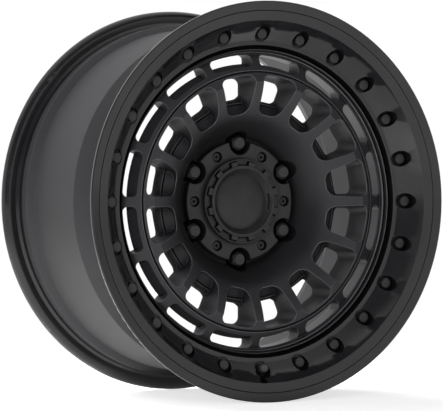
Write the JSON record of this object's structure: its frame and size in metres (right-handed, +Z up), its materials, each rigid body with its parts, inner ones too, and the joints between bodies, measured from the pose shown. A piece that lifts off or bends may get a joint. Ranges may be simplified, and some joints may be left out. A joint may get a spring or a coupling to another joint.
{
  "type": "alloy wheel",
  "caption": "Cast alloy off-road wheel with short spokes round a dished hub, a slotted ring, a bolt ring inside the front lip, a scalloped hub cover and a toothed centre cap.",
  "frame": {"origin": "centre of the hub's mounting face, which lies midway across the rim", "axes": "+Y along the axle from the styled face towards the vehicle, +Z up with the valve at the bottom, +X to the right seen from the styled face"},
  "size_m": [0.4716, 0.2516, 0.4716],
  "materials": {
    "casting": "satin black paint, glossier on the lip, bolt ring and barrel",
    "black_steel": "black coating",
    "cover_plastic": "satin black",
    "cap_plastic": "satin black",
    "nut_steel": "black coating",
    "stem_rubber": "matt black",
    "valve_brass": "plain brass",
    "valve_cap_plastic": "matt black"
  },
  "bodies": {
    "root": {"wheel": "casting", "ring_bolts": "black_steel", "hub_cover": "cover_plastic", "centre_cap": "cap_plastic", "cover_screws": "black_steel", "lug_nuts": "nut_steel", "valve_stem": "stem_rubber", "valve_tube": "valve_brass", "valve_core": "valve_brass", "valve_cap": "valve_cap_plastic"}
  },
  "joints": []
}
